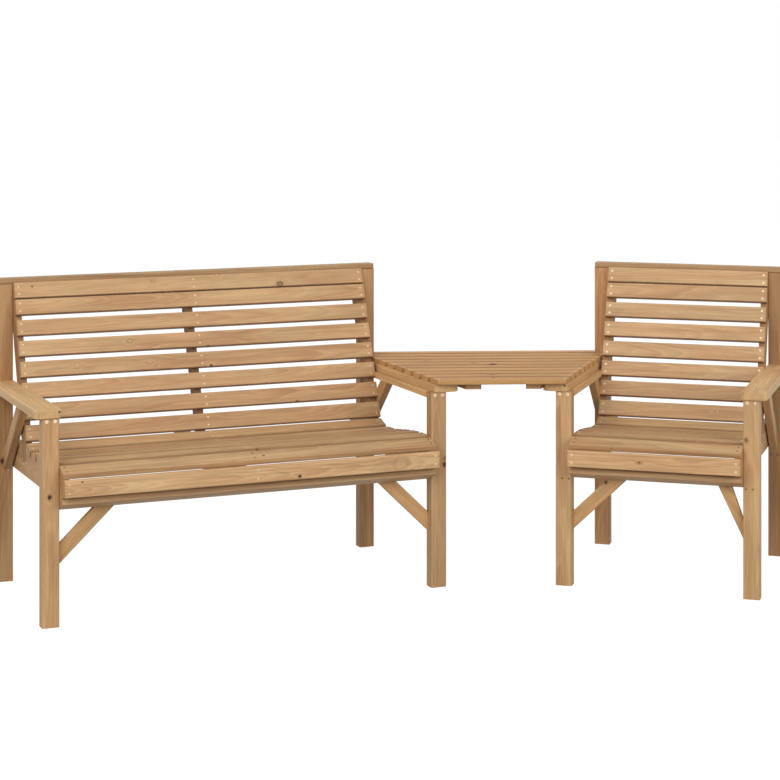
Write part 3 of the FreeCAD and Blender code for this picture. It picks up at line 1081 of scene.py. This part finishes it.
@dataclass
class SeatUnit:
    """A bench or a chair: its woods, and where its light and dark screws and its plugs sit.

    The recesses of the slats' screws turn, in radians per metre, with their place along and across.
    """

    name: str
    turn: float
    slat_finish: WoodFinish
    tones: dict[str, float]
    light: Fasteners
    dark: Fasteners
    plugs: Fasteners
    middle_pairs: bool = False
    leg_screws: bool = False
    end_inset: float = 0.0125
    middle_place: float = -0.001
    pair_offset: float = 0.0118
    plug_height: float = 0.565
    plug_places: tuple[float, float] = (0.012, 0.036)
    leg_screw_height: float = 0.317
    leg_screw_places: tuple[float, float] = (0.008, 0.028)
    leg_width: float = 0.048
    arm_screw_inset: float = 0.008
    arm_screw_rise: float = 0.0055
    turn_along: float = 40.0
    turn_across: float = 90.0
    leg_screw_turn: float = 0.4
    arm_screw_turn: float = 0.7
    board_screw_turn: float = 0.3
    board_screw_places: tuple[tuple[float, float], ...] = ((0.114, 0.004), (0.146, 0.012))
    back_slats: list[Board] = field(default_factory=list)
    seat_slats: list[Board] = field(default_factory=list)

    def build(self) -> None:
        """Dress the boards, and add the screws and plugs."""
        self.dress_frame()
        self.back_slats = self.slats("back_slat", self.slat_finish)
        self.seat_slats = self.slats("seat_slat", SEAT_WOOD)
        self.screw_slats()
        self.screw_arms()
        self.mark_legs()

    def nodes(self, word: str) -> list[str]:
        """Names of this seat's nodes that hold a word, in order."""
        return sorted(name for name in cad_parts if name.startswith(self.name + "_") and word in name)

    def board(self, name: str) -> Board:
        """The board of one of this seat's nodes."""
        return Board(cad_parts[self.name + "_" + name])

    def tone(self, board: Board) -> float:
        """The extra darkness of a board."""
        return self.tones.get(board.piece.name.removeprefix(self.name + "_"), 0.0)

    def front(self) -> Vector:
        """The direction that the seat faces."""
        return Vector((math.sin(self.turn), -math.cos(self.turn), 0.0))

    def right(self) -> Vector:
        """The direction of the seat's right end, as seen from the front."""
        return Vector((math.cos(self.turn), math.sin(self.turn), 0.0))

    def dress_frame(self) -> None:
        """Dress the legs, rails, boards, battens, arms and braces."""
        for word, (finish, knot_share) in FRAME_WOODS.items():
            for name in self.nodes(word):
                board = Board(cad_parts[name])
                Woodwork(board, finish, knot_share, self.tone(board)).dress()

    def slats(self, word: str, finish: WoodFinish) -> list[Board]:
        """Find and dress slats, and split a node that groups them into its boards.

        Args:
            word: part of the nodes' names.
            finish: their wood.

        Returns:
            The slats.
        """
        found = [board for name in self.nodes(word) for board in separate(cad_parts[name])]
        for board in found:
            Woodwork(board, finish, 0.0, self.tone(board), self.edge_shade_share(board)).dress()
        return found

    def edge_shade_share(self, board: Board) -> float:
        """The share of painted shade along a slat's lower edge: the three front seat slats, whose edge faces
        the front, take less.
        """
        front = "seat" in board.piece.name and board.piece.name.endswith(("_1", "_2", "_3"))
        return FRONT_SHADE_SHARE if front else 1.0

    def screw_slats(self) -> None:
        """Drive two screws through each slat but the lowest over every batten and board."""
        nose = self.seat_slats[2]
        for board in self.back_slats + self.seat_slats[1:]:
            outward = self.outward(board)
            reach = board.half.z if outward.dot(board.through) > 0.0 else -board.half.z
            end = board.half.x - self.end_inset
            for along in (-end, self.middle_place, end) if self.middle_pairs else (-end, end):
                for across in (-self.pair_offset, self.pair_offset):
                    spot = board.point(along, across, reach)
                    screws = self.dark if board is nose else self.light
                    turn = along * self.turn_along + across * self.turn_across
                    screws.drive(spot, outward, board.along, turn)

    def outward(self, board: Board) -> Vector:
        """Choose the face of a slat that is seen.

        Args:
            board: the slat.

        Returns:
            The normal, upwards or to the front, and to the front on a slat that faces down.
        """
        ahead, rise = board.through.dot(self.front()), board.through.z
        seen = ahead if rise * ahead < -0.1 else ahead + rise
        return board.through if seen > 0.0 else -board.through

    def mark_legs(self) -> None:
        """Set the plugs at the tops of the front legs and the dark screws below the seat."""
        front = self.front()
        for kind in ("front_leg", "rear_post"):
            for side in Side:
                inward = self.right() if side is Side.LEFT else -self.right()
                board = self.board(f"{kind}_{side.value}")
                face = board.centre + front * board.reach(front)
                outer = face - inward * (self.leg_width / 2.0)
                inner = face + inward * (self.leg_width / 2.0)
                for inset in self.plug_places if kind == "front_leg" else ():
                    self.plugs.drive(self.level(outer + inward * inset, self.plug_height), front, UP)
                for inset in self.leg_screw_places if self.leg_screws else ():
                    spot = self.level(inner - inward * inset, self.leg_screw_height)
                    self.dark.drive(spot, front, UP, self.leg_screw_turn)

    def screw_arms(self) -> None:
        """Set a dark screw in the front end of the left arm and two screws in each outer seat board."""
        arm = self.board("arm_left")
        inward = math.copysign(1.0, arm.across.dot(self.right()))
        forward = arm.along * math.copysign(1.0, arm.along.dot(self.front()))
        spot = arm.point(0.0, inward * (arm.half.y - self.arm_screw_inset), self.arm_screw_rise)
        self.dark.drive(spot + forward * arm.reach(forward), forward, UP, self.arm_screw_turn)
        for side in Side:
            board = self.board("seat_board_" + side.value)
            outer = -self.right() if side is Side.LEFT else self.right()
            facing = math.copysign(1.0, board.through.dot(outer))
            back = -math.copysign(1.0, board.along.dot(self.front()))
            for along, across in self.board_screw_places:
                spot = board.point(back * along, across, facing * board.half.z)
                self.light.drive(spot, board.through * facing, board.along, self.board_screw_turn)

    def level(self, point: Vector, height: float) -> Vector:
        """The point moved to a height."""
        return Vector((point.x, point.y, height))


@dataclass
class TrayUnit:
    """The tray: slats across the arms and two battens under them."""

    end_inset: float = 0.010
    pair_offset: float = 0.013
    turn_across: float = 70.0
    slats: list[Board] = field(default_factory=list)

    def dress(self) -> None:
        """Dress the slats and battens."""
        self.slats = separate(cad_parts["tray_slats"])
        front = min(self.slats, key=lambda board: board.centre.y)
        for board in self.slats:
            # The front tray slat takes less painted shade along its lower edge. The others take more, which
            # darkens the gaps.
            Woodwork(board, TRAY_WOOD, edge_shade_share=FRONT_SHADE_SHARE if board is front else 1.0).dress()
        for side in Side:
            Woodwork(Board(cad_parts["tray_batten_" + side.value]), FRAME_WOOD).dress()

    def screw_slats(self, screws: Fasteners) -> None:
        """Drive screws through the slat ends into the arms and into the battens.

        Args:
            screws: the collection that receives them.
        """
        for board in self.slats:
            for end in (-1.0, 1.0):
                for across in (-self.pair_offset, self.pair_offset):
                    along = end * (self.half_length(board, across, end) - self.end_inset)
                    spot = board.point(along, across, board.half.z)
                    screws.drive(spot, board.through, board.along, across * self.turn_across)

    def half_length(self, board: Board, across: float, end: float) -> float:
        """Measure how far a slat's slanted end reaches on a line along it.

        Args:
            board: the slat.
            across: the line's place across the slat.
            end: -1 or 1 for the left or right end.

        Returns:
            The distance from the middle to the end.
        """
        corners = [board.own(vertex.co) for vertex in board.piece.data.vertices]
        front = max(corner.x * end for corner in corners if corner.y < 0.0)
        rear = max(corner.x * end for corner in corners if corner.y > 0.0)
        return front + (rear - front) * (across + board.half.y) / (2.0 * board.half.y)


@dataclass
class Studio:
    """Floor, background, soft lamps and the camera."""

    finish: StudioFinish = StudioFinish()
    floor_half: float = 30.0
    aim: Triple = (0.0, 0.0, 0.45)
    camera_place: Triple = (-0.3526, -6.4304, 1.5881)
    camera_turn: float = math.radians(-2.797)
    lens: float = 100.0
    shift: float = -0.4391

    def build(self) -> None:
        """Build everything round the object."""
        self.add_floor()
        self.add_world()
        self.add_lamp("key", (-2.6, -5.2, 3.6), 3.4, 172.0)
        self.add_lamp("fill", (3.4, -5.0, 2.8), 3.4, 132.0)
        self.add_lamp("top", (0.0, 0.6, 5.2), 4.0, 9.0)
        self.add_lamp("back_left", (-4.8, 4.2, 2.6), 2.4, 42.0)
        self.add_lamp("back_right", (4.8, 4.2, 2.6), 2.4, 42.0)
        self.add_camera()

    def add_floor(self) -> None:
        """A wide pale floor that keeps the soft shadow."""
        half = self.floor_half
        corners = [(-half, -half, 0.0), (half, -half, 0.0), (half, half, 0.0), (-half, half, 0.0)]
        floor = new_piece("floor", corners, [[0, 1, 2, 3]])
        material, graph = new_material("floor")
        graph.surface({
            "Base Color": (*self.finish.floor, 1.0),
            "Roughness": 0.9,
            "Specular IOR Level": 0.0,
            "Emission Color": WHITE,
            "Emission Strength": graph.times(self.in_view(graph), self.finish.floor_glow),
        })
        floor.data.materials.append(material)

    def in_view(self, graph: Graph) -> Socket:
        """Mask the rays that show the surroundings in the picture, in a reflection or through glass.

        Args:
            graph: the graph of the floor or the world.

        Returns:
            The mask's socket, 1 for such rays.
        """
        path = graph.add("ShaderNodeLightPath").outputs
        seen = graph.maths("MAXIMUM", path["Is Camera Ray"], path["Is Glossy Ray"])
        return graph.maths("MAXIMUM", seen, path["Is Transmission Ray"])

    def add_world(self) -> None:
        """White background, with a softer level for the light that it gives."""
        world = bpy.data.worlds.new("studio")
        world.use_nodes = True
        bpy.context.scene.world = world
        graph = Graph(world.node_tree)
        strength = graph.ramp(self.in_view(graph), 0.0, 1.0, self.finish.background_light, 1.0)
        background = graph.add("ShaderNodeBackground", WHITE, strength)
        graph.add("ShaderNodeOutputWorld", background.outputs[0])

    def add_lamp(self, name: str, place: Triple, size: float, power: float) -> None:
        """Add a square lamp that faces the object.

        Args:
            name: the lamp's name.
            place: where it hangs.
            size: its width.
            power: its power in watts.
        """
        data = bpy.data.lights.new(name, "AREA")
        data.shape = "SQUARE"
        data.size = size
        data.energy = power
        lamp = shown(bpy.data.objects.new(name, data))
        lamp.location = place
        lamp.rotation_euler = (Vector(self.aim) - Vector(place)).to_track_quat("-Z", "Y").to_euler()

    def add_camera(self) -> None:
        """A level camera with the lens and framing of the photograph."""
        data = bpy.data.cameras.new("camera")
        data.lens = self.lens
        data.sensor_width = 36.0
        data.shift_y = self.shift
        camera = shown(bpy.data.objects.new("camera", data))
        camera.location = self.camera_place
        camera.rotation_euler = (math.radians(90.0), 0.0, self.camera_turn)
        bpy.context.scene.camera = camera
        bpy.context.scene.view_settings.view_transform = "Standard"


def write_sizes() -> None:
    """Update the view layer."""
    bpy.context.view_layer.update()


def main() -> None:
    """Dress the seats and the tray, add the screws and plugs, and set up the studio."""
    logging.basicConfig(level=logging.INFO, format="%(message)s")
    turn = math.radians(20.0)
    plugs = Fasteners("leg_plugs", PlugHead(), "legs")
    dark = Fasteners("dark_screws", ScrewHead(radius=0.0028), "screws")
    worn = Fasteners("bench_screws", ScrewHead(radius=0.0030), "screws")
    bright = Fasteners("chair_screws", ScrewHead(radius=0.0035), "screws")
    bench = SeatUnit("bench", turn, BACK_WOOD, BENCH_TONES, worn, dark, plugs, middle_pairs=True)
    chair = SeatUnit("chair", -turn, CHAIR_BACK_WOOD, CHAIR_TONES, bright, dark, plugs, leg_screws=True)
    for unit in (bench, chair):
        unit.build()
        LOG.info("%s: %d back slats, %d seat slats", unit.name, len(unit.back_slats), len(unit.seat_slats))
    tray = TrayUnit()
    tray.dress()
    tray.screw_slats(worn)
    LOG.info("tray: %d slats", len(tray.slats))
    for screws, finish in ((worn, OLD_ZINC), (bright, ZINC), (dark, DARK_STEEL)):
        screws.finish().data.materials.append(metal(screws.name, finish))
        LOG.info("%s: %d points", screws.name, len(screws.points))
    Woodwork(Board(plugs.finish()), PLUG_WOOD, 0.0).dress()
    LOG.info("%s: %d points", plugs.name, len(plugs.points))
    Studio().build()
    LOG.info("studio: floor, world, lamps and camera")
    write_sizes()


if __name__ == "__main__":
    main()
